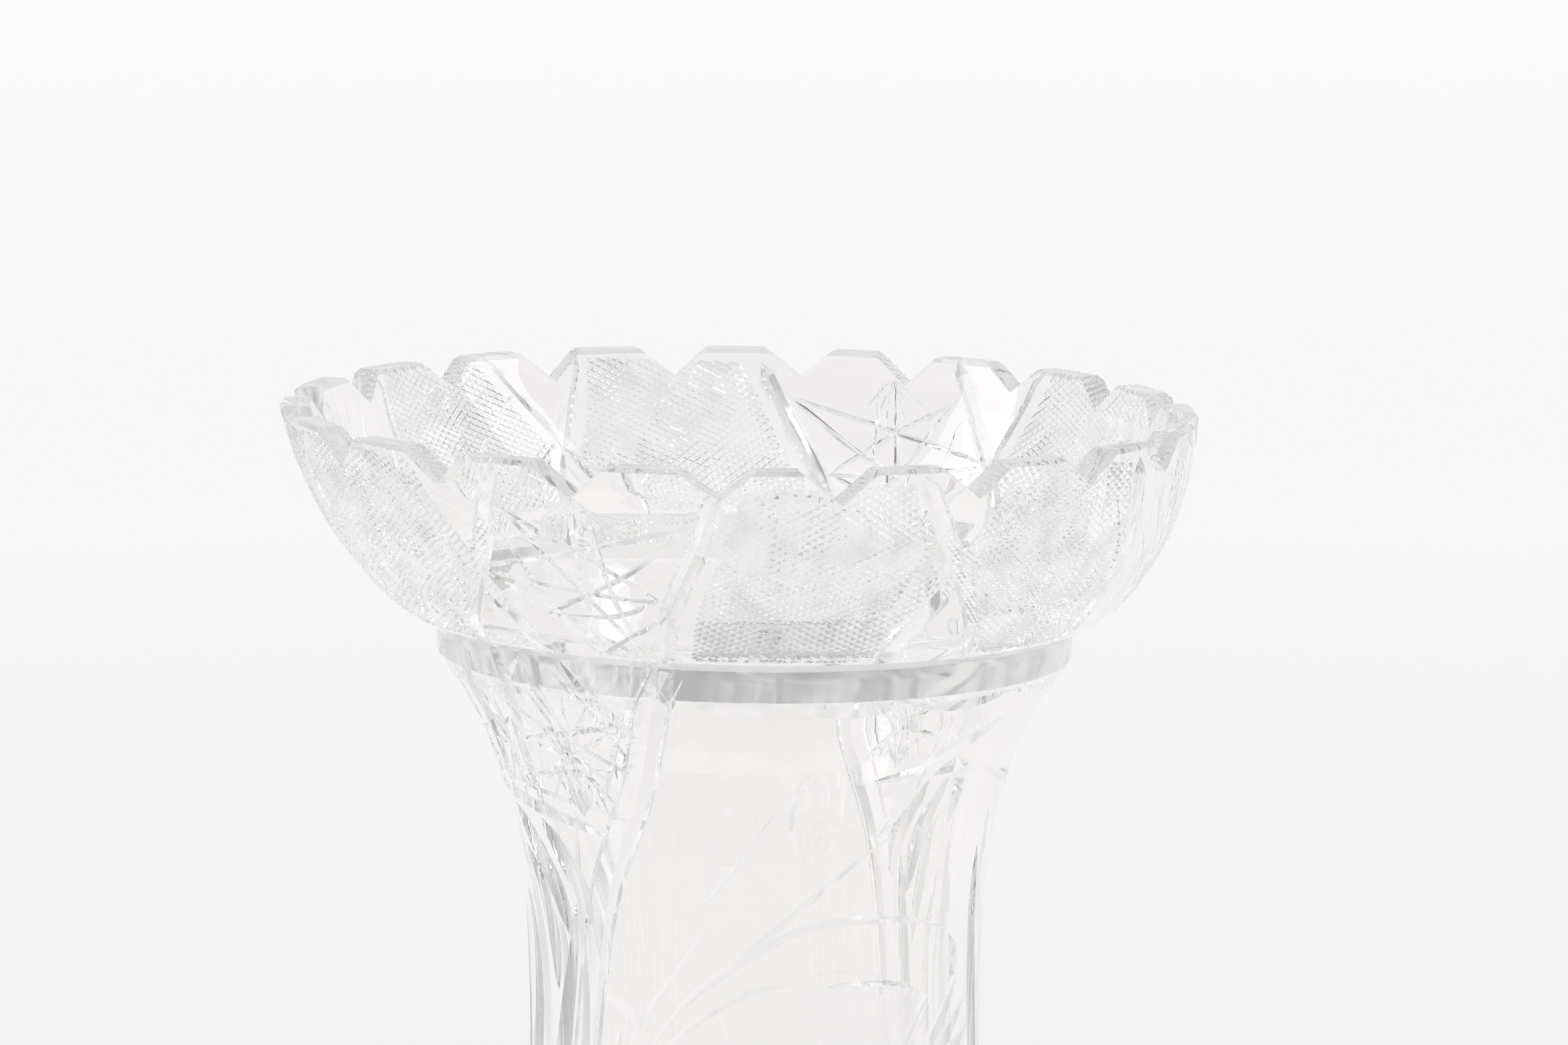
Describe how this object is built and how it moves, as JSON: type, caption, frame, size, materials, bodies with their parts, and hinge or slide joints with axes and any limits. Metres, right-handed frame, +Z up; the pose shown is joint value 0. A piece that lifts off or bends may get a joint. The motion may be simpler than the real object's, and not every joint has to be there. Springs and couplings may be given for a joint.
{
  "type": "flower vase",
  "caption": "Tall cut-glass flower vase with a wide scalloped bowl mouth, a cut ring, a narrow waist and a spreading foot.",
  "frame": {"origin": "centre of the foot's resting ring, on the surface the vase stands on", "axes": "+Z up along the vase's axis, -Y towards the side with the engraved flower spray"},
  "size_m": [0.1674, 0.1674, 0.3],
  "materials": {
    "crystal": "clear polished lead crystal with polished mitre cuts and satin engraving"
  },
  "bodies": {
    "root": {"vase_body": "crystal"}
  },
  "joints": []
}
